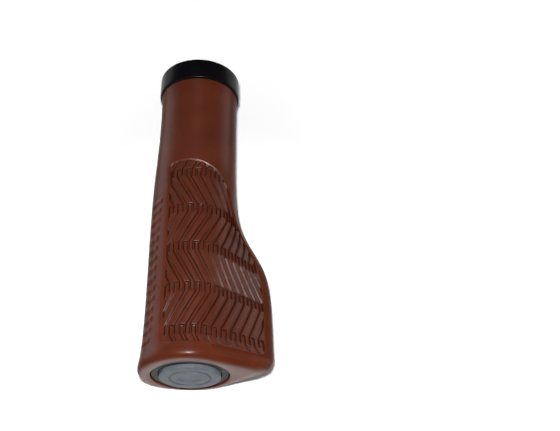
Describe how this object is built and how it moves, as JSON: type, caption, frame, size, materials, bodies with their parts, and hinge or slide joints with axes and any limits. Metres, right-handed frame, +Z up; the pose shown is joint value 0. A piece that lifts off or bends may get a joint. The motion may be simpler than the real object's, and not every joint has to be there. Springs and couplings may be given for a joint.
{
  "type": "handlebar grip",
  "caption": "Bicycle handlebar grip in moulded rubber with a palm wing, a sunk panel of zigzag channels, a closed outer end and a split clamp ring at the inner end.",
  "frame": {"origin": "on the surface that the grip lies on, under the middle of its length and width", "axes": "+Z up from the underside; +Y along the handlebar's axis, from the closed outer end to the clamp ring; +X to the side of the palm wing"},
  "size_m": [0.048, 0.1314, 0.036],
  "materials": {
    "brown_rubber": "smooth moulded brown rubber with a soft sheen",
    "slate_plastic": "slate grey moulded plastic, fine satin grain",
    "grey_plastic": "blue grey moulded plastic, satin",
    "black_metal": "glossy black anodised aluminium",
    "dark_steel": "black oxide steel"
  },
  "bodies": {
    "root": {"rubber_body": "brown_rubber", "core_sleeve": "slate_plastic", "end_cap": "grey_plastic", "clamp_ring": "black_metal", "clamp_bolt": "dark_steel"}
  },
  "joints": []
}
